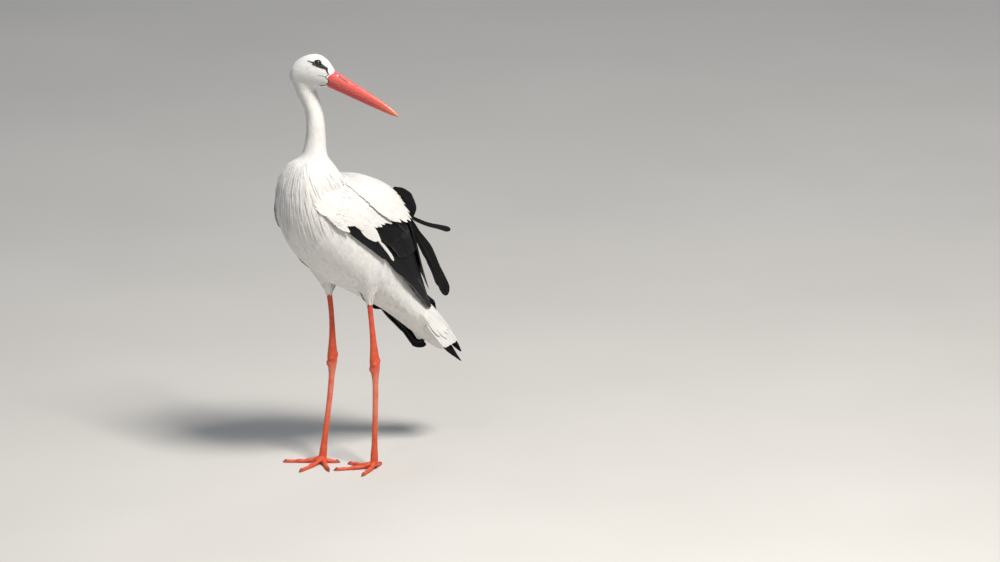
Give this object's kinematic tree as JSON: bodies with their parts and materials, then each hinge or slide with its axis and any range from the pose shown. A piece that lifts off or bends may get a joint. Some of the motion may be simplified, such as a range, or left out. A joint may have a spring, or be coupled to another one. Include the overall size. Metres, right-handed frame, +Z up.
{
  "type": "white stork",
  "caption": "Standing white stork with folded black-and-white wings, long straight red bill and long red legs, its head turned to its left.",
  "frame": {"origin": "middle of the bird's bounding box in plan, at the level of the soles of its feet", "axes": "+Z up; the trunk faces -Y, with the tail towards +Y; +X is the bird's left"},
  "size_m": [0.3014, 0.5208, 0.9734],
  "materials": {
    "white_feathers": "soft matte plumage",
    "black_feathers": "flight feathers with a faint sheen",
    "bill_horn": "smooth red horn",
    "leg_skin": "scaly red skin",
    "claw_horn": "dull dark horn",
    "eye": "wet, dark"
  },
  "bodies": {
    "root": {"bill_lower": "bill_horn", "bill_upper": "bill_horn", "claw_left_hind": "claw_horn", "claw_left_inner": "claw_horn", "claw_left_middle": "claw_horn", "claw_left_outer": "claw_horn", "claw_right_hind": "claw_horn", "claw_right_inner": "claw_horn", "claw_right_middle": "claw_horn", "claw_right_outer": "claw_horn", "drooping_tertials": "black_feathers", "eye_left": "eye", "eye_right": "eye", "foot_left": "leg_skin", "foot_right": "leg_skin", "head": "white_feathers", "loose_tertial": "black_feathers", "neck": "white_feathers", "raised_tertials": "black_feathers", "tail": "white_feathers", "tarsus_left": "leg_skin", "tarsus_right": "leg_skin", "thigh_left": "white_feathers", "thigh_right": "white_feathers", "tibia_left": "leg_skin", "tibia_right": "leg_skin", "trunk": "white_feathers", "wing_left_coverts": "white_feathers", "wing_left_greater_coverts": "black_feathers", "wing_left_primaries": "black_feathers", "wing_left_primary_coverts": "black_feathers", "wing_left_scapulars": "white_feathers", "wing_left_secondaries": "black_feathers", "wing_left_tertials": "black_feathers", "wing_right_coverts": "white_feathers", "wing_right_greater_coverts": "black_feathers", "wing_right_primaries": "black_feathers", "wing_right_primary_coverts": "black_feathers", "wing_right_scapulars": "white_feathers", "wing_right_secondaries": "black_feathers", "wing_right_tertials": "black_feathers"}
  },
  "joints": []
}
